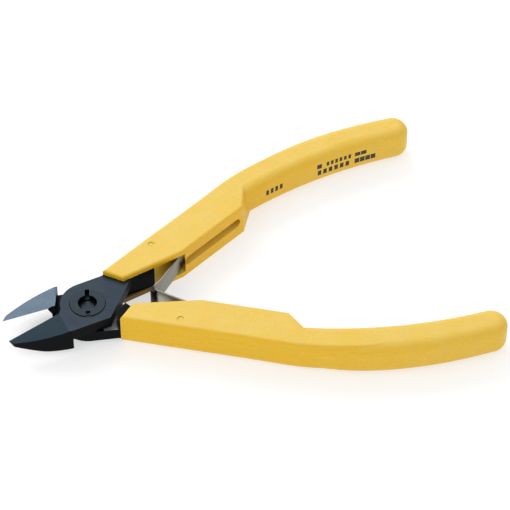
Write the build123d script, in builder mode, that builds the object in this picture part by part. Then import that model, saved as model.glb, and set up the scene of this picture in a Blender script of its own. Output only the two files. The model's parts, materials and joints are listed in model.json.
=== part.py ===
from build123d import *
import math
import os

# A small precision side cutter for electronics work: two lap-jointed cutting halves on one pivot,
# a moulded grip on each tang, and two leaf springs that hook together and push the grips apart.
#
# Frame: millimetres, +Z up. The origin is on the pivot axis, in the plane of the head's ground
# underside. +X runs back along the middle of the tool, towards the grips. Half A has its grip on
# the +Y side and its jaw on the -Y side. The tool is at rest with its jaws open.
#
# Each half is drawn in its own closed position: grip on +Y, jaw on -Y, cutting edge on y = 0. The
# plane that carries its sketches turns it open by half of the jaw opening. side is +1 for half A
# and -1 for half B, which is drawn mirrored in y.

# ---------------------------------------------------------------- driving dimensions
jaw_opening = 18.0          # angle between the halves at rest, degrees
head_thickness = 6.0        # both laps together, ground flat
lap_gap = 0.06              # running gap between the two lap faces
edge_gap = 0.02             # each cutting edge stops this far from the middle plane

jaw_length = 19.4           # pivot axis to jaw tip
jaw_root = 7.0              # pivot axis to where a jaw's top face begins to slope
jaw_keel = 11.5             # pivot axis to where its underside begins to slope
tip_thickness = 0.8         # jaw thickness at the tip
tip_drop = 0.5              # the tip's middle lies this far below the head's
edge_length = 10.5          # length of the cutting edge
bevel_angle = 45.0          # undercut behind each cutting edge, from vertical

plate_radius = 6.2          # rounded front of each lap plate, and half the head's width
nut_radius = 4.0
nut_seat_clearance = 0.15
nut_seat_gap = 0.04         # below the nut, in half A's counterbore
nut_height = 2.2
nut_proud = 0.2             # the nut stands this far above the head's top face
nut_hole_radius = 2.2
nut_turn = -13.0            # where the spanner slots stand once the nut is set, degrees
slot_width = 1.05           # spanner slots across the nut
slot_depth = 1.4
shank_radius = 2.6
shank_clearance = 0.05      # running clearance of the shank in half A
screw_head_radius = 3.7
screw_head_height = 1.3
screw_end_radius = 1.4
screw_end_depth = 1.1       # top of the screw's turned-down end, below the head's top face
thread_end_depth = 1.5      # top of the screw's full diameter, below the head's top face

grip_thickness = 8.7
grip_edge_radius = 0.6      # top of the grip's front block
grip_heel_radius = 1.9      # outer bottom edge of the front block
grip_rear_radius = 2.4      # rounded rear part of the grip
step_angle = 61.0           # slant of the step behind the front block
step_length = 6.6
window_height = 6.1         # the tang's bare inner wall stands between two flanges
pocket_height = 6.0         # opening for the leaf spring
groove_start = 0.6          # behind the bend in the grip's inner edge
groove_end = 19.0
groove_width = 2.6
groove_depth = 2.0
step_foot_inner = 0.35      # how far the step's foot spreads, at each end of the step
step_foot_outer = 1.3
dimple_radius = 0.8
dimple_depth = 0.15
tail_width = 3.0            # thin tail of the tang, moulded into the grip
tail_thickness = 3.2

leaf_width = 5.2
leaf_thickness = 0.42
hook_radius = 0.76          # middle of the strip, round the hook's centre
hook_centre = (15.7, 0)     # on the tool's middle plane at rest
hook_start, hook_sweep = 97, 165            # degrees

# ---------------------------------------------------------------- derived heights
half_opening = jaw_opening / 2
mid_z = head_thickness / 2
tip_top = mid_z - tip_drop + tip_thickness / 2
tip_bottom = tip_top - tip_thickness
nut_seat = head_thickness + nut_proud - nut_height
spare = 1.5                 # how far a cutting tool runs past the metal it removes
bevel_reach = 4.0
bevel_run_out = 10.0        # length of the undercut, which ends just before the throat


def level(side, z):
    """Horizontal plane at height z, turned open with one half."""
    return Plane.XY.offset(z).rotated((0, 0, side * half_opening))


def plan(side, *points):
    """Plan points of a half, mirrored for half B."""
    return [(x, side * y) for x, y in points]


def lengthwise(side):
    """Vertical plane along the middle of a half, with its own y axis upwards."""
    return Plane.XZ.rotated((0, 0, side * half_opening))


def upright(side, start, end):
    """Vertical plane of a half through two plan points, facing out of its inner side."""
    first, last = (level(side, mid_z).from_local_coords(p + (0,)) for p in plan(side, start, end))
    along = last - first
    return Plane(origin=first, x_dir=along, z_dir=along.cross(Vector(0, 0, side)))


# ---------------------------------------------------------------- cutter halves
# Plan points of a half in its closed position.
jaw_tip = (-jaw_length, -edge_gap)
jaw_nose = (-18.6, -1.35)
jaw_belly = (-13.3, -4.05)
jaw_heel = (-6.25, -6.1)
edge_end = (edge_length - jaw_length, -edge_gap)
throat_corner = (-8.3, -0.4)                # the gap behind the cutting edges
throat_rear = (-7.3, -0.4)
web_start = (-6.9, -edge_gap)               # the lap plate's front, beside the throat
web_end = (-6.1, 1.1)
plate_front = (-plate_radius * math.sqrt(0.5), plate_radius * math.sqrt(0.5))
plate_crown = (0, plate_radius)
plate_rear = (2.95, -plate_radius)          # rear corner of the lap plate
plate_inner = (12.5, 3.1)                   # where the plate's rear edge meets the tang
shoulder_outer = (6.2, plate_radius)        # start of the full-thickness tang
shoulder_knee = (6.2, 3.5)
shoulder_inner = (8.5, 1.1)
shoulder_rear = (10.2, 3.1)                 # where the shoulder meets the tang's inner wall
tang_window_end = (18.1, 3.15)              # end of the tang's bare inner wall
tang_waist = (18.5, 5.2)
tang_end_inner = (20.0, 6.0)
tang_end_outer = (20.0, 10.2)
tail_start = (19.0, 8.2)                    # middle line of the tang's thin tail
tail_end = (52.0, 18.4)


def jaw_outline(side):
    """Outer edge of a jaw, from its heel round to the tip."""
    heel, belly, nose, tip = plan(side, jaw_heel, jaw_belly, jaw_nose, jaw_tip)
    ThreePointArc(heel, belly, nose)
    Line(nose, tip)


def undercut_plane(side):
    """Plane of the bevel below a cutting edge: it holds the edge and falls away outwards."""
    rise = (head_thickness - tip_top) / (jaw_length - jaw_root)
    frame = level(side, 0)
    tip = frame.from_local_coords((-jaw_length, -side * edge_gap, tip_top))
    end = frame.from_local_coords((edge_end[0], -side * edge_gap, tip_top + edge_length * rise))
    lean = edge_gap + math.tan(math.radians(bevel_angle))
    below = frame.from_local_coords((-jaw_length, -side * lean, tip_top - 1))
    along = (end - tip).normalized()
    return Plane(origin=tip, x_dir=along, z_dir=side * (below - tip).cross(along))


def cutter_half(label, side):
    """One forged half. Half A carries the upper lap plate and half B the lower one."""
    lap_face = mid_z + side * lap_gap / 2
    plate_face = head_thickness if side > 0 else 0.0
    far_face = 0.0 if side > 0 else head_thickness
    tang = plan(side, shoulder_outer, tang_end_outer, tang_end_inner, tang_waist, tang_window_end,
                plate_inner)
    with BuildPart() as half:
        # lap plate with its jaw and tang, half the head's thickness
        with BuildSketch(level(side, lap_face)):
            with BuildLine():
                jaw_outline(side)
                Polyline(*plan(side, jaw_tip, web_start, web_end))
                ThreePointArc(*plan(side, web_end, plate_front, plate_crown))
                Polyline(*plan(side, plate_crown), *tang, *plan(side, plate_rear, jaw_heel))
            make_face()
        extrude(amount=plate_face - lap_face)
        # the rest of the jaw and of the tang, on the other side of the lap face
        with BuildSketch(level(side, lap_face)):
            with BuildLine():
                jaw_outline(side)
                Polyline(*plan(side, jaw_tip, edge_end, throat_corner, throat_rear, jaw_heel))
            make_face()
            with BuildLine():
                Polyline(*tang, *plan(side, shoulder_rear, shoulder_inner, shoulder_knee), close=True)
            make_face()
        extrude(amount=far_face - lap_face)
        # jaw faces slope to the tip, above and below
        with BuildSketch(lengthwise(side)):
            for root, face_z, tip_z in ((jaw_root, head_thickness, tip_top), (jaw_keel, 0, tip_bottom)):
                with BuildLine():
                    clear_z = face_z + math.copysign(spare, face_z - mid_z)
                    Polyline((-root, face_z), (-jaw_length, tip_z), (-jaw_length - spare, tip_z),
                             (-jaw_length - spare, clear_z), (-root, clear_z), close=True)
                make_face()
        extrude(amount=2 * plate_radius, both=True, mode=Mode.SUBTRACT)
        # undercut bevel below the cutting edge, run out at the throat
        with BuildSketch(undercut_plane(side)):
            with BuildLine():
                Polyline(*plan(-side, (-spare, -bevel_reach), (bevel_run_out, -bevel_reach),
                               (edge_length + spare, 2 * bevel_reach), (-spare, 2 * bevel_reach)),
                         close=True)
            make_face()
        extrude(amount=-2 * bevel_reach, mode=Mode.SUBTRACT)
        # tail of the tang, moulded into the grip
        with BuildSketch(level(side, mid_z)):
            with BuildLine():
                Line(*plan(side, tail_start, tail_end))
            trace(line_width=tail_width)
        extrude(amount=tail_thickness / 2, both=True)
        # pivot hole
        if side > 0:
            with Locations((0, 0, head_thickness)):
                CounterBoreHole(shank_radius + shank_clearance, nut_radius + nut_seat_clearance,
                                head_thickness - nut_seat + nut_seat_gap, depth=head_thickness)
        else:
            with BuildSketch(Plane.XZ):
                with BuildLine():
                    Polyline((0, 0), (screw_head_radius, 0), (shank_radius, screw_head_height),
                             (shank_radius, head_thickness), (0, head_thickness), close=True)
                make_face()
            revolve(axis=Axis.Z, mode=Mode.SUBTRACT)
    half.part.label = label
    export_step(half.part, f"parts/{label}.step")
    print(label, len(half.part.solids()), round(half.part.volume, 1))
    return half


# ---------------------------------------------------------------- grips
# Plan points of a grip in the closed position of its half.
grip_front_outer = (6.7, 6.5)
grip_front_inner = (10.0, 2.4)
grip_apex = (25.6, 3.7)                     # bend in the inner edge, over the leaf's root
step_start = (44.3, 10.4)
step_end = (step_start[0] + step_length * math.cos(math.radians(step_angle)),
            step_start[1] + step_length * math.sin(math.radians(step_angle)))
inner_run = math.dist(grip_apex, step_start)
inner_direction = [(b - a) / inner_run for a, b in zip(grip_apex, step_start)]
foot_start = (step_start[0] + step_foot_inner * inner_direction[0],
              step_start[1] + step_foot_inner * inner_direction[1])
foot_end = (step_end[0] + step_foot_outer * math.sin(math.radians(step_angle)),
            step_end[1] - step_foot_outer * math.cos(math.radians(step_angle)))
block_ridge = (52.0, 18.8)                  # the front block fades out on the rear's flat top
block_end = (70.0, 20.6)
block_outer = [(64.5, 22.8), (56.0, 22.5), (46.0, 20.55), (38.0, 17.75), (22.0, 12.0)]
rear_inner_start = (46.5, 14.1)
rear_inner_middle = (68.0, 16.7)
rear_inner_end = (88.2, 15.3)
rear_tip = (92.6, 19.2)
rear_outer_end = (89.0, 22.7)
rear_outer = [(79.5, 24.1), (68.0, 24.6), (56.0, 23.35), (46.0, 20.35)]
rear_outer_start = (38.0, 17.1)             # inside the front block
dimple_centre = (20.0, 8.9)
pocket_outline = [(18.1, 0), (18.1, 3.1), (21.0, 4.4), (25.2, 6.6), (26.8, 7.3), (27.3, 6.2),
                  (26.3, 3.9), (26.3, 0)]


def grip(label, side, half):
    """Moulded grip: a crisp front block that fades into a rounded rear, over the tang and leaf."""
    with BuildPart() as rear:
        with BuildSketch(level(side, mid_z)):
            with BuildLine():
                ThreePointArc(*plan(side, rear_inner_start, rear_inner_middle, rear_inner_end))
                ThreePointArc(*plan(side, rear_inner_end, rear_tip, rear_outer_end))
                Spline(*plan(side, rear_outer_end, *rear_outer, rear_outer_start))
                Line(*plan(side, rear_outer_start, rear_inner_start))
            make_face()
        extrude(amount=grip_thickness / 2, both=True)
        flat_edges = rear.faces().filter_by(Axis.Z).edges()
        fillet(flat_edges.filter_by(GeomType.LINE, reverse=True), radius=grip_rear_radius)
    with BuildPart() as moulding:
        with BuildSketch(level(side, mid_z)):
            with BuildLine():
                Polyline(*plan(side, grip_front_outer, grip_front_inner, grip_apex, step_start,
                               step_end, block_ridge, block_end))
                Spline(*plan(side, block_end, *block_outer, grip_front_outer))
            make_face()
        extrude(amount=grip_thickness / 2, both=True)
        sole, top = moulding.faces().filter_by(Axis.Z).sort_by(Axis.Z)
        fillet(top.edges(), radius=grip_edge_radius)
        fillet(sole.edges().filter_by(GeomType.BSPLINE), radius=grip_heel_radius)
        add(rear.part)
        # the step's face spreads towards its foot
        for z, start, end in ((grip_thickness / 2 - grip_edge_radius, step_start, step_end),
                              (-grip_thickness / 2, foot_start, foot_end)):
            with BuildSketch(level(side, mid_z + z)):
                with BuildLine():
                    Polyline(*plan(side, grip_apex, start, end, block_ridge), close=True)
                make_face()
        loft(ruled=True)
        # bare inner wall of the tang, between the two flanges
        with BuildSketch(level(side, mid_z)):
            with BuildLine():
                Polyline(*plan(side, (0, 0), (tang_window_end[0], 0), tang_window_end,
                               (0, tang_window_end[1])), close=True)
            make_face()
        extrude(amount=window_height / 2, both=True, mode=Mode.SUBTRACT)
        # ramped pocket that the leaf spring folds into
        with BuildSketch(level(side, mid_z)):
            with BuildLine():
                Polyline(*plan(side, *pocket_outline), close=True)
            make_face()
        extrude(amount=pocket_height / 2, both=True, mode=Mode.SUBTRACT)
        # long groove in the inner side behind the pocket
        with BuildSketch(upright(side, grip_apex, step_start)):
            with Locations(((groove_start + groove_end) / 2, 0)):
                SlotOverall(groove_end - groove_start, groove_width)
        extrude(amount=-groove_depth, mode=Mode.SUBTRACT)
        # moulded dimple on the top face
        with BuildSketch(level(side, mid_z + grip_thickness / 2)):
            with Locations(plan(side, dimple_centre)[0]):
                Circle(dimple_radius)
        extrude(amount=-dimple_depth, mode=Mode.SUBTRACT)
        add(half.part, mode=Mode.SUBTRACT)
    moulding.part.label = label
    export_step(moulding.part, f"parts/{label}.step")
    print(label, len(moulding.part.solids()), round(moulding.part.volume, 1))


# ---------------------------------------------------------------- leaf springs
# Middle line of half A's strip at rest, from its root in the grip down to the hook.
leaf_root = (24.5, 9.0)
leaf_run = [(22.9, 7.1), (20.2, 4.5), (18.0, 2.4)]


def leaf_spring(label, side):
    """Spring strip standing on edge. Half A's leaf ends in a hook round the end of half B's."""
    with BuildPart() as leaf:
        with BuildSketch(Plane.XY.offset(mid_z)):
            with BuildLine():
                if side > 0:
                    hook = CenterArc(hook_centre, hook_radius, hook_start, hook_sweep)
                    Spline(leaf_root, *leaf_run, hook @ 0, tangents=[(-1, -1.4), (-1, 0)])
                else:
                    Spline(*plan(side, leaf_root, *leaf_run), hook_centre,
                           tangents=[(-1, 1.4), (-1, 0.9)])
            trace(line_width=leaf_thickness)
        extrude(amount=leaf_width / 2, both=True)
    leaf.part.label = label
    export_step(leaf.part, f"parts/{label}.step")
    print(label, len(leaf.part.solids()), round(leaf.part.volume, 1))


# ---------------------------------------------------------------- pivot
def pivot_screw():
    """Screw keyed in half B: conical head flush below, shank through both laps, end in the nut."""
    thread_end = head_thickness - thread_end_depth
    screw_end = head_thickness - screw_end_depth
    with BuildPart() as screw:
        with BuildSketch(Plane.XZ):
            with BuildLine():
                Polyline((0, 0), (screw_head_radius, 0), (shank_radius, screw_head_height),
                         (shank_radius, nut_seat), (nut_hole_radius, nut_seat),
                         (nut_hole_radius, thread_end), (screw_end_radius, thread_end),
                         (screw_end_radius, screw_end), (0, screw_end), close=True)
            make_face()
        revolve(axis=Axis.Z)
    screw.part.label = "pivot_screw"
    export_step(screw.part, "parts/pivot_screw.step")
    print("pivot_screw", len(screw.part.solids()), round(screw.part.volume, 1))


def pivot_nut():
    """Ring nut in half A's counterbore, barely proud, with spanner slots across its face."""
    with BuildPart() as nut:
        with BuildSketch(Plane.XY.offset(head_thickness + nut_proud)):
            Circle(nut_radius)
            Circle(nut_hole_radius, mode=Mode.SUBTRACT)
        extrude(amount=-nut_height)
        with BuildSketch(Plane.XY.offset(head_thickness + nut_proud)):
            Rectangle(slot_width, 3 * nut_radius, rotation=nut_turn)
        extrude(amount=-slot_depth, mode=Mode.SUBTRACT)
    nut.part.label = "pivot_nut"
    export_step(nut.part, "parts/pivot_nut.step")
    print("pivot_nut", len(nut.part.solids()), round(nut.part.volume, 1))


os.makedirs("parts", exist_ok=True)
half_a = cutter_half("cutter_half_a", 1)
half_b = cutter_half("cutter_half_b", -1)
grip("grip_a", 1, half_a)
grip("grip_b", -1, half_b)
leaf_spring("leaf_spring_a", 1)
leaf_spring("leaf_spring_b", -1)
pivot_screw()
pivot_nut()
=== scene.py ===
import bpy
import bmesh
import json
import math
from mathutils import Matrix, Vector


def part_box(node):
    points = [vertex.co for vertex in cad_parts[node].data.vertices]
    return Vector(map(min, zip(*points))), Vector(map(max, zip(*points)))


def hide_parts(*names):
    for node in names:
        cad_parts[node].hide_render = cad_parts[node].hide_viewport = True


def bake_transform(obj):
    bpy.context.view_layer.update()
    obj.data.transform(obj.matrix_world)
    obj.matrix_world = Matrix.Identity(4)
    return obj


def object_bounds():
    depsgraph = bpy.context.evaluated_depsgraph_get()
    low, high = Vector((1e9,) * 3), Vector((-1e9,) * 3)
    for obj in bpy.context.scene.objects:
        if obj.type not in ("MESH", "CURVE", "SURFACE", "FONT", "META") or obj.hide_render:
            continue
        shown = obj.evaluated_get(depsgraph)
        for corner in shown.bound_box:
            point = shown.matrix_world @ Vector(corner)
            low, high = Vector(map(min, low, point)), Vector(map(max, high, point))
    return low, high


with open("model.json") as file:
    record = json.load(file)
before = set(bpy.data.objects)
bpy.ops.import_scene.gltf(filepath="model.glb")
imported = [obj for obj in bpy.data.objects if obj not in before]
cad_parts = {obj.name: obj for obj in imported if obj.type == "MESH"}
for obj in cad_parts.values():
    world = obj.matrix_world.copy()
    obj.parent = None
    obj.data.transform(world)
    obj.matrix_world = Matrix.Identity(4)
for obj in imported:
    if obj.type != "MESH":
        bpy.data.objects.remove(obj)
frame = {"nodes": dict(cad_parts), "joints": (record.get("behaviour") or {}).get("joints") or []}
cad = frame["nodes"]
cad_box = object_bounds()
leaf_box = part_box("leaf_spring_a")
pivot = next(joint for joint in frame["joints"] if joint["name"] == "cutter_pivot")

MM = 0.001
HALF_OPENING = math.radians(pivot["range_deg"][1] / 2)      # of each half at rest
MID_Z = (cad_box[0].z + cad_box[1].z) / 2 / MM              # middle of the head and the grips, mm

# ---------------------------------------------------------------- camera
CAMERA_AZIMUTH = math.radians(-17.993)
CAMERA_ELEVATION = math.radians(47.147)
CAMERA_ROLL = math.radians(0.452)
CAMERA_DISTANCE = 554.7 * MM
CAMERA_TARGET = Vector((41.387, 5.462, 3.0)) * MM
CAMERA_LENS = 169.24                        # on a 36 mm sensor


def make_camera():
    """A long lens, looking down on the tool from its jaw side."""
    flat = math.cos(CAMERA_ELEVATION)
    back = Vector((math.sin(CAMERA_AZIMUTH) * flat, -math.cos(CAMERA_AZIMUTH) * flat,
                   math.sin(CAMERA_ELEVATION)))
    right = Vector((math.cos(CAMERA_AZIMUTH), math.sin(CAMERA_AZIMUTH), 0))
    up = back.cross(right)
    turn = Matrix.Rotation(CAMERA_ROLL, 3, back)
    right, up = turn @ right, turn @ up
    camera = bpy.data.objects.new("camera", bpy.data.cameras.new("camera"))
    camera.data.lens = CAMERA_LENS
    camera.data.clip_start, camera.data.clip_end = 0.01, 20
    axes = Matrix((right, up, back)).transposed()
    camera.matrix_world = Matrix.Translation(CAMERA_TARGET + back * CAMERA_DISTANCE) @ axes.to_4x4()
    bpy.context.scene.collection.objects.link(camera)
    bpy.context.scene.camera = camera


# ---------------------------------------------------------------- shader building
class Shader:
    """A Principled material and the few node patterns that every finish here is made of."""

    def __init__(self, name, metallic=0.0):
        self.material = bpy.data.materials.new(name)
        self.material.use_nodes = True
        self.tree = self.material.node_tree
        self.surface = self.tree.nodes["Principled BSDF"]
        self.surface.inputs["Metallic"].default_value = metallic
        self.place = self.node("ShaderNodeTexCoord").outputs["Object"]

    def node(self, kind, **settings):
        made = self.tree.nodes.new(kind)
        for key, value in settings.items():
            setattr(made, key, value)
        return made

    def join(self, value, socket):
        """Links an output, or sets a plain number or colour."""
        if isinstance(value, bpy.types.NodeSocket):
            self.tree.links.new(value, socket)
        else:
            socket.default_value = value

    def math(self, operation, *values):
        made = self.node("ShaderNodeMath", operation=operation)
        for value, socket in zip(values, made.inputs):
            self.join(value, socket)
        return made.outputs[0]

    def mapping(self, turn=(0, 0, 0), scale=(1, 1, 1), source=None):
        made = self.node("ShaderNodeMapping")
        self.join(source or self.place, made.inputs["Vector"])
        made.inputs["Rotation"].default_value = turn
        made.inputs["Scale"].default_value = scale
        return made.outputs[0]

    def noise(self, size, detail=3.0, source=None, rough=0.5):
        """Noise with features about size millimetres across, from 0 to 1."""
        made = self.node("ShaderNodeTexNoise")
        self.join(source or self.place, made.inputs["Vector"])
        made.inputs["Scale"].default_value = 1 / (size * MM)
        made.inputs["Detail"].default_value = detail
        made.inputs["Roughness"].default_value = rough
        return made.outputs["Fac"]

    def spread(self, value, low, high, to_low=0.0, to_high=1.0):
        made = self.node("ShaderNodeMapRange")
        for key, number in (("Value", value), ("From Min", low), ("From Max", high),
                            ("To Min", to_low), ("To Max", to_high)):
            self.join(number, made.inputs[key])
        return made.outputs[0]

    def mix(self, factor, first, second, blend="MIX"):
        made = self.node("ShaderNodeMix", data_type="RGBA", blend_type=blend)
        self.join(factor, made.inputs["Factor"])
        self.join(first, made.inputs[6])
        self.join(second, made.inputs[7])
        return made.outputs[2]

    def facing(self, axis, low, high):
        """How squarely the surface faces along X, Y or Z, either way, from 0 to 1."""
        normal = self.node("ShaderNodeTexCoord").outputs["Normal"]
        split = self.node("ShaderNodeSeparateXYZ")
        self.join(normal, split.inputs[0])
        return self.spread(self.math("ABSOLUTE", split.outputs[axis]), low, high)

    def cavity(self, reach):
        """1 in the open, falling to 0 where the piece's own walls crowd within reach millimetres."""
        made = self.node("ShaderNodeAmbientOcclusion", samples=8, only_local=True)
        made.inputs["Distance"].default_value = reach * MM
        return self.spread(made.outputs["AO"], 0.25, 0.9)

    def position(self, turn=0.0):
        """X, Y and Z in millimetres, turned about Z."""
        split = self.node("ShaderNodeSeparateXYZ")
        self.join(self.mapping(turn=(0, 0, turn), scale=(1 / MM,) * 3), split.inputs[0])
        return split.outputs

    def edges(self, radius):
        """1 on a sharp edge, fading to 0 about radius millimetres away."""
        bevel = self.node("ShaderNodeBevel", samples=6)
        bevel.inputs["Radius"].default_value = radius * MM
        geometry = self.node("ShaderNodeNewGeometry")
        dot = self.node("ShaderNodeVectorMath", operation="DOT_PRODUCT")
        self.join(bevel.outputs[0], dot.inputs[0])
        self.join(geometry.outputs["Normal"], dot.inputs[1])
        return self.spread(dot.outputs["Value"], 0.97, 0.75)

    def bumps(self, *layers):
        """Stacks bump layers of (height, depth in millimetres) on the surface."""
        normal = None
        for height, depth in layers:
            bump = self.node("ShaderNodeBump")
            bump.inputs["Strength"].default_value = 1.0
            bump.inputs["Distance"].default_value = depth * MM
            self.join(height, bump.inputs["Height"])
            if normal:
                self.join(normal, bump.inputs["Normal"])
            normal = bump.outputs[0]
        self.join(normal, self.surface.inputs["Normal"])

    def finish(self, colour, rough):
        self.join(colour, self.surface.inputs["Base Color"])
        self.join(rough, self.surface.inputs["Roughness"])
        return self.material


# ---------------------------------------------------------------- yellow plastic
# painted light: a lit top colour and a shaded side colour of the same yellow plastic
PLASTIC_LIT_TOP = (0.71, 0.51, 0.135, 1)
PLASTIC_SHADED_SIDE = (0.72, 0.43, 0.005, 1)
PLASTIC_PALE = (0.80, 0.58, 0.12, 1)
PLASTIC_DEEP = (0.70, 0.43, 0.020, 1)
# painted shade for the hollows
PLASTIC_HOLLOW_SHADE = (0.30, 0.13, 0.004, 1)
# painted shade for the lower flange beside the tang
WINDOW_SHADE = (0.05, 0.026, 0.005, 1)
INK = (0.03, 0.027, 0.02, 1)
GRIP_SLANT = math.radians(19)               # between a grip's length and its half's middle line
LIT_REAR_START, LIT_REAR_END = 40, 80           # where the grip's sides are painted lighter towards the rear, as painted light, in mm along a half
WINDOW_END = (17.5, 19.5)                   # the painted shade along the tang's bare wall fades out here
WINDOW_WALL, WINDOW_REACH = 2.5, 1.3        # distance of that wall from the half's middle line
WINDOW_SILL = (0.1, 0.4)                    # the lower flange lies below this height

# Runs of plain pad-printed blocks on grip A's inner side, in half A's closed position: start,
# length, number of blocks, level and half height in mm, and a block's half width over the pitch.
PRINT_RUNS = [(52.7, 5.2, 4, 3.2, 0.8, 0.30),
              (67.1, 1.6, 1, 4.3, 0.7, 0.40),
              (69.6, 7.0, 6, 4.3, 0.65, 0.30),
              (77.3, 3.2, 2, 4.3, 0.6, 0.45),
              (67.2, 9.0, 6, 2.2, 0.75, 0.32),
              (77.3, 5.6, 4, 2.2, 0.75, 0.44)]
PRINT_SIDE = 20.0                           # the inner side lies nearer the middle than this, mm


def closed_position(shader, side):
    """X, Y and Z in millimetres in a half's closed position."""
    return shader.position(-side * HALF_OPENING)


def window_shade(shader, side):
    """Painted shade on the lower flange, under the top flange, along the tang's bare inner wall."""
    along, across, height = closed_position(shader, side)
    wall = shader.math("COMPARE", shader.math("ABSOLUTE", across), WINDOW_WALL, WINDOW_REACH)
    near_tang = shader.math("MULTIPLY", shader.spread(along, *WINDOW_END, 0.8, 0),
                            shader.spread(height, *WINDOW_SILL, 1, 0))
    return shader.math("MULTIPLY", wall, near_tang)


def print_mask(shader, side):
    """Where the ink lies, on the inner side of a grip only."""
    along, across, height = closed_position(shader, side)
    total = 0.0
    for start, length, blocks, level, half_height, half_width in PRINT_RUNS:
        from_start = shader.math("SUBTRACT", along, start)
        phase = shader.math("FRACT", shader.math("DIVIDE", from_start, length / blocks))
        mask = shader.math("MULTIPLY", shader.math("COMPARE", from_start, length / 2, length / 2),
                           shader.math("COMPARE", height, level, half_height))
        mask = shader.math("MULTIPLY", mask, shader.math("COMPARE", phase, 0.5, half_width))
        total = shader.math("ADD", total, mask)
    inner_only = shader.math("LESS_THAN", across, PRINT_SIDE)
    worn = shader.spread(shader.noise(0.2, 2), 0.2, 0.36)
    return shader.math("MULTIPLY", shader.math("MULTIPLY", total, inner_only), worn)


def grip_plastic(side, printed):
    """Satin yellow plastic: faint flow marks, spark-eroded grain, rubbed edges, printed blocks, and
    painted light and shade.
    """
    shader = Shader("grip_plastic_" + ("a" if side > 0 else "b"))
    along = shader.mapping(turn=(0, 0, -side * (HALF_OPENING + GRIP_SLANT)))
    streaks = shader.noise(0.5, 4, shader.mapping(scale=(0.06, 1, 1), source=along), 0.6)
    clouds = shader.noise(7, 3)
    grain = shader.noise(0.16, 2)
    speck = shader.noise(1.1, 2)
    # painted light: the plastic is painted paler on top, where the light falls, and towards the
    # rear, where its sides catch more light
    rear = shader.spread(closed_position(shader, side)[0], LIT_REAR_START, LIT_REAR_END, 0, 0.5)
    painted_light_share = shader.math("MAXIMUM", shader.facing("Z", 0.4, 1.0), rear)
    colour = shader.mix(painted_light_share, PLASTIC_SHADED_SIDE, PLASTIC_LIT_TOP)
    colour = shader.mix(shader.spread(clouds, 0.35, 0.65, 0.35, 0), colour, PLASTIC_DEEP)
    colour = shader.mix(shader.spread(streaks, 0.45, 0.8, 0, 0.35), colour, PLASTIC_PALE)
    colour = shader.mix(shader.spread(speck, 0.7, 0.78, 0, 0.25), colour, PLASTIC_DEEP)
    colour = shader.mix(shader.math("MULTIPLY", shader.edges(0.35), 0.45), colour, PLASTIC_PALE)
    mottle = shader.spread(shader.noise(0.55, 4, rough=0.7), 0.36, 0.64, 0, 0.7)
    colour = shader.mix(mottle, colour, PLASTIC_PALE, "SOFT_LIGHT")
    # painted shade in the hollows, more of it on their walls than on level faces
    wall_share = shader.spread(shader.facing("Z", 0.5, 0.9), 0, 1, 0.95, 0.3)
    hollow = shader.math("SUBTRACT", 1.0, shader.cavity(2.2))
    colour = shader.mix(shader.math("MULTIPLY", hollow, wall_share), colour, PLASTIC_HOLLOW_SHADE)
    # painted shade on the lower flange along the tang's bare wall
    colour = shader.mix(window_shade(shader, side), colour, WINDOW_SHADE)
    rough = shader.spread(streaks, 0.3, 0.7, 0.38, 0.52)
    if printed:
        ink = print_mask(shader, side)
        colour = shader.mix(ink, colour, INK)
        rough = shader.math("ADD", rough, shader.math("MULTIPLY", ink, 0.12))
    shader.bumps((grain, 0.012), (streaks, 0.01), (clouds, 0.05))
    shader.surface.inputs["Specular IOR Level"].default_value = 0.32
    shader.surface.inputs["Subsurface Weight"].default_value = 0.08
    shader.surface.inputs["Subsurface Scale"].default_value = 0.6 * MM
    return shader.finish(colour, rough)


# ---------------------------------------------------------------- blackened steel
GROUND = (0.027, 0.039, 0.051, 1)
GROUND_WARM = (0.033, 0.044, 0.054, 1)
SLOPE_SHADE = (0.58, 0.72, 0.74, 1)          # painted shade: half A's sloped jaw face is painted darker than its head
GROUND_LINES = (0.017, 0.023, 0.031, 1)
OXIDE = (0.003, 0.0035, 0.004, 1)
BARE = (0.42, 0.42, 0.42, 1)
WORN = (0.13, 0.14, 0.15, 1)
DARK_SHEEN = (0.72, 0.74, 0.74, 1)          # the oxide stays dark at a grazing angle
GRIND_SLANT = math.radians(30)              # direction of the grinding lines
SHOULDER_FRONT = -3.0                       # the tang's shoulder starts behind this, mm
LAP_FRONT = -8.0                            # front of the lap faces, mm
LAP_BRIGHT = 2.0                            # they are rubbed bright behind this
# painted light: half B's ground faces are painted 2.6 times brighter than half A's, for the sheen
# they catch
HALF_A_TINT = (1.0, 1.0, 1.04, 1)           # of the ground faces
HALF_B_PAINTED_LIGHT = (2.6, 2.6, 2.704, 1)
RING_PITCH = 0.16                           # of the lathe's marks on the pivot, mm


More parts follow.
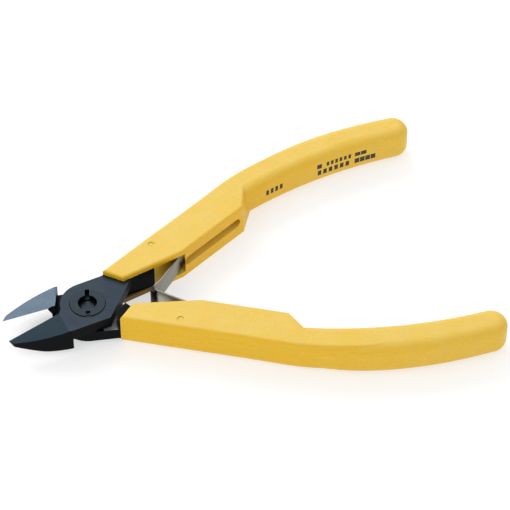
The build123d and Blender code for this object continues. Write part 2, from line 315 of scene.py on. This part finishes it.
def black_steel(name, side, tint):
    """Blackened steel: slate-coloured ground faces, near-black forged sides, a bright rear lap."""
    shader = Shader(name, 0.9)
    x, _, z = shader.position()
    along = shader.mapping(turn=(0, 0, side * GRIND_SLANT))
    grind = shader.noise(0.12, 3, shader.mapping(scale=(0.035, 1, 1), source=along), 0.65)
    scale = shader.noise(0.35, 4)
    clouds = shader.noise(4, 3)
    level = shader.facing("Z", 0.55, 0.85)
    # the tang's shoulder beyond the lap is left as forged, near-black, which also paints the shade
    # it lies in
    far_side = shader.math("COMPARE", z, MID_Z * (1 - side), 0.4)
    shoulder = shader.math("MULTIPLY", far_side, shader.math("GREATER_THAN", x, SHOULDER_FRONT))
    ground = shader.math("MULTIPLY", level, shader.math("SUBTRACT", 1.0, shoulder))
    # the lap faces are black in front of the pivot, for their blackening and as painted shade, and
    # rubbed bright behind it
    lap = shader.math("MULTIPLY", level, shader.math("COMPARE", z, MID_Z, 0.2))
    lap = shader.math("MULTIPLY", lap, shader.math("GREATER_THAN", x, LAP_FRONT))
    lap_colour = shader.mix(shader.math("GREATER_THAN", x, LAP_BRIGHT), OXIDE, BARE)
    flat = shader.mix(shader.spread(clouds, 0.35, 0.65), GROUND, GROUND_WARM)
    flat = shader.mix(shader.spread(grind, 0.3, 0.7, 0, 0.5), flat, GROUND_LINES)
    flat = shader.mix(1.0, flat, tint, "MULTIPLY")
    if side > 0:
        # painted shade on half A's sloped jaw face
        slope = shader.math("SUBTRACT", 1.0, shader.facing("Z", 0.975, 0.99))
        flat = shader.mix(slope, flat, SLOPE_SHADE, "MULTIPLY")
    colour = shader.mix(ground, OXIDE, flat)
    colour = shader.mix(lap, colour, lap_colour)
    scratch = shader.spread(grind, 0.68, 0.78, 0, 0.2)
    colour = shader.mix(shader.math("MULTIPLY", scratch, ground), colour, WORN)
    rubbed = shader.math("MULTIPLY", shader.edges(0.12), shader.spread(scale, 0.4, 0.62))
    colour = shader.mix(shader.math("MULTIPLY", rubbed, 0.5), colour, WORN)
    # painted shade: hollows and slots are darkened to near-black
    colour = shader.mix(shader.cavity(1.2), OXIDE, colour)
    rough = shader.spread(grind, 0.25, 0.75, 0.34, 0.48)
    shader.bumps((grind, 0.005), (scale, 0.005))
    shader.surface.inputs["Specular Tint"].default_value = DARK_SHEEN
    return shader.finish(colour, rough)


def turned_steel():
    """The pivot's steel: fine rings from the lathe round the pivot axis."""
    shader = Shader("turned_steel", 0.9)
    x, y, _ = shader.position()
    squares = shader.math("ADD", shader.math("MULTIPLY", x, x), shader.math("MULTIPLY", y, y))
    turns = shader.math("MULTIPLY", shader.math("SQRT", squares), 2 * math.pi / RING_PITCH)
    rings = shader.spread(shader.math("SINE", turns), -1, 1)
    scale = shader.noise(0.3, 4)
    ground = shader.facing("Z", 0.55, 0.85)
    colour = shader.mix(shader.spread(scale, 0.35, 0.65), GROUND_LINES, GROUND)
    colour = shader.mix(shader.math("MULTIPLY", rings, 0.3), colour, GROUND_LINES)
    colour = shader.mix(ground, OXIDE, colour)
    rubbed = shader.math("MULTIPLY", shader.edges(0.12), shader.spread(scale, 0.35, 0.6))
    colour = shader.mix(shader.math("MULTIPLY", rubbed, 0.6), colour, WORN)
    # painted shade: the nut's slots and hole are darkened to near-black
    colour = shader.mix(shader.cavity(1.6), OXIDE, colour)
    shader.bumps((rings, 0.003), (scale, 0.005))
    return shader.finish(colour, shader.spread(scale, 0.3, 0.7, 0.34, 0.48))


# ---------------------------------------------------------------- spring steel
ROLLED_DARK, ROLLED_LIGHT = (0.70, 0.68, 0.56), (0.92, 0.91, 0.78)
HEAT_HAZE = (0.56, 0.50, 0.38)
STRIP_EDGE_SHADE = (0.20, 0.19, 0.17, 1)             # painted shade on the strip's edge faces, which look up and down
HOOK_DARK = (0.03, 0.028, 0.025, 1)            # the hook's bend is near-black
HOOK_DARK_FADE = (15.6, 16.1)                   # where the dark bend ends along X, mm


def spring_steel(name, turn, painted_light_level):
    """Bright rolled strip, with rolling marks along it and a heat-tinted haze; its brightness is a
    painted light level.
    """
    shader = Shader(name, 0.95)
    dark, light, tint = (tuple(painted_light_level * c for c in rgb) + (1,)
                         for rgb in (ROLLED_DARK, ROLLED_LIGHT, HEAT_HAZE))
    turned = shader.mapping(turn=(0, 0, turn))
    rolled = shader.noise(0.14, 3, shader.mapping(scale=(0.03, 0.03, 1), source=turned), 0.6)
    haze = shader.noise(1.6, 3)
    colour = shader.mix(shader.spread(rolled, 0.3, 0.7), dark, light)
    colour = shader.mix(shader.spread(haze, 0.5, 0.75, 0, 0.6), colour, tint)
    # painted shade: the darker haze colour is laid where the strip's own walls crowd, inside the
    # hook
    colour = shader.mix(shader.cavity(2.0), tint, colour)
    colour = shader.mix(shader.facing("Z", 0.5, 0.8), colour, STRIP_EDGE_SHADE)
    bend = shader.spread(shader.position()[0], *HOOK_DARK_FADE, 1.0, 0.0)
    colour = shader.mix(bend, colour, HOOK_DARK)
    shader.bumps((rolled, 0.004), (haze, 0.02))
    return shader.finish(colour, shader.spread(rolled, 0.3, 0.7, 0.26, 0.42))


# ---------------------------------------------------------------- the CAD pieces
def paint(node, material):
    mesh = cad[node].data
    mesh.materials.clear()
    mesh.materials.append(material)


def paint_frame():
    paint("grip_a", grip_plastic(1, True))
    paint("grip_b", grip_plastic(-1, False))
    paint("cutter_half_a", black_steel("black_steel_a", 1, HALF_A_TINT))
    paint("cutter_half_b", black_steel("black_steel_b", -1, HALF_B_PAINTED_LIGHT))
    turned = turned_steel()
    paint("pivot_nut", turned)
    paint("pivot_screw", turned)


# ---------------------------------------------------------------- leaf springs
# Middle line of half A's strip in the tool's plane, in millimetres: from its moulded-in end past
# the joint at its root, then down to the hook. Half B's strip is mirrored and ends in the hook.
STRIP_POINTS = [(26.1, 11.3), (25.5, 10.45), (24.5, 9.0), (22.9, 7.1), (20.2, 4.5), (18.0, 2.4)]
HOOK_CENTRE = (15.7, 0.0)
HOOK_RADIUS = 0.76
HOOK_START, HOOK_END = math.radians(97), math.radians(262)
STRIP_WIDTH = (leaf_box[1].z - leaf_box[0].z) / MM
STRIP_THICKNESS = 0.42
STRIP_EDGE = 0.09                           # rounding of the strip's sheared edges
EDGE_STEPS = 3
HOOK_STEPS = 16
# painted light: strip A is painted darker than strip B, for the light each one catches
STRIP_A_PAINTED_LIGHT, STRIP_B_PAINTED_LIGHT = 0.32, 0.78
SHARP_ANGLE = math.radians(40)              # edges sharper than this aren't smoothed
MARKS_TURN = math.radians(45)               # one way or the other, so the strips' marks differ


def smooth_path(points, steps=8):
    """Catmull-Rom curve through points, evenly divided."""
    ends = [points[0] * 2 - points[1]] + points + [points[-1] * 2 - points[-2]]
    path = []
    for a, b, c, d in zip(ends, ends[1:], ends[2:], ends[3:]):
        for i in range(steps):
            t = i / steps
            path.append(0.5 * (2 * b + (c - a) * t + (2 * a - 5 * b + 4 * c - d) * t * t
                               + (3 * b - a - 3 * c + d) * t * t * t))
    return path + [points[-1]]


def strip_section():
    """Rounded rectangle: offsets across the strip's thickness and along its width."""
    half_t, half_w = STRIP_THICKNESS / 2, STRIP_WIDTH / 2
    corners = ((1, 1, 0), (-1, 1, 90), (-1, -1, 180), (1, -1, 270))
    section = []
    for sign_t, sign_w, start in corners:
        for step in range(EDGE_STEPS + 1):
            angle = math.radians(start + 90 * step / EDGE_STEPS)
            section.append((sign_t * (half_t - STRIP_EDGE) + STRIP_EDGE * math.cos(angle),
                            sign_w * (half_w - STRIP_EDGE) + STRIP_EDGE * math.sin(angle)))
    return section


def strip_path(side):
    """The strip's middle line, from its root to the hook or to the end that lies in the hook."""
    points = [Vector(p) for p in STRIP_POINTS]
    if side > 0:
        step = (HOOK_END - HOOK_START) / HOOK_STEPS
        arc = [HOOK_START + step * i for i in range(HOOK_STEPS + 1)]
        hook = [Vector(HOOK_CENTRE) + HOOK_RADIUS * Vector((math.cos(a), math.sin(a))) for a in arc]
        return smooth_path(points + [hook[0]])[:-1] + hook
    return [Vector((p.x, -p.y)) for p in smooth_path(points + [Vector(HOOK_CENTRE)])]


def strip_mesh(name, path):
    """Sweeps the strip's section along its path, standing on edge."""
    mesh = bmesh.new()
    rings = []
    for i, point in enumerate(path):
        along = (path[min(i + 1, len(path) - 1)] - path[max(i - 1, 0)]).normalized()
        normal = Vector((-along.y, along.x))
        ring = []
        for thick, wide in strip_section():
            flat = point + normal * thick
            ring.append(mesh.verts.new(Vector((flat.x, flat.y, MID_Z + wide)) * MM))
        rings.append(ring)
    for first, second in zip(rings, rings[1:]):
        for i in range(len(first)):
            j = (i + 1) % len(first)
            mesh.faces.new((first[i], first[j], second[j], second[i]))
    mesh.faces.new(reversed(rings[0]))
    mesh.faces.new(rings[-1])
    bmesh.ops.recalc_face_normals(mesh, faces=mesh.faces)
    data = bpy.data.meshes.new(name)
    mesh.to_mesh(data)
    mesh.free()
    data.shade_smooth()
    data.set_sharp_from_angle(angle=SHARP_ANGLE)
    return data


def leaf_strip(letter, side, painted_light_level):
    """Spring strip, built in its rest shape, in place of the CAD leaf."""
    name = "leaf_strip_" + letter
    strip = bpy.data.objects.new(name, strip_mesh(name, strip_path(side)))
    bpy.context.scene.collection.objects.link(strip)
    strip.data.materials.append(spring_steel(name + "_steel", -side * MARKS_TURN, painted_light_level))
    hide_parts("leaf_spring_" + letter)
    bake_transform(strip)


# ---------------------------------------------------------------- floor and light
FLOOR_SIZE = 6
FLOOR_GLOW = 0.55
FLOOR_ROUGHNESS = 0.7
FLOOR_DARK, FLOOR_LIGHT = (0.45, 0.45, 0.45, 1), (0.47, 0.47, 0.47, 1)
SKY_STRENGTH = 0.86
WHITE = (1, 1, 1, 1)
LAMP_TARGET = (0.04, 0, 0)
LAMPS = [("back", (-0.12, 0.87, 0.7), (0.9, 0.5), 5.2),     # name, place, size, power
         ("left", (-0.7, 0.0, 0.7), (0.6, 0.6), 1.2)]


def floor_material():
    """White light table, which glows about as much as it reflects."""
    shader = Shader("floor")
    colour = shader.mix(shader.noise(3, 3), FLOOR_DARK, FLOOR_LIGHT)
    shader.surface.inputs["Emission Color"].default_value = WHITE
    shader.surface.inputs["Emission Strength"].default_value = FLOOR_GLOW
    return shader.finish(colour, FLOOR_ROUGHNESS)


def area_light(name, place, size, power):
    data = bpy.data.lights.new(name, "AREA")
    data.shape = "RECTANGLE"
    data.size, data.size_y = size
    data.energy = power
    lamp = bpy.data.objects.new(name, data)
    lamp.location = place
    lamp.rotation_euler = (Vector(LAMP_TARGET) - Vector(place)).to_track_quat("-Z", "Y").to_euler()
    bpy.context.scene.collection.objects.link(lamp)


def make_studio():
    bpy.ops.mesh.primitive_plane_add(size=FLOOR_SIZE, location=(0, 0, cad_box[0].z))
    floor = bpy.context.object
    floor.name = "floor"
    floor.data.materials.append(floor_material())
    world = bpy.data.worlds.new("studio")
    world.use_nodes = True
    world.node_tree.nodes["Background"].inputs["Color"].default_value = WHITE
    world.node_tree.nodes["Background"].inputs["Strength"].default_value = SKY_STRENGTH
    bpy.context.scene.world = world
    for lamp in LAMPS:
        area_light(*lamp)


make_camera()
paint_frame()
leaf_strip("a", 1, STRIP_A_PAINTED_LIGHT)
leaf_strip("b", -1, STRIP_B_PAINTED_LIGHT)
make_studio()
bpy.context.scene.view_settings.view_transform = "Standard"
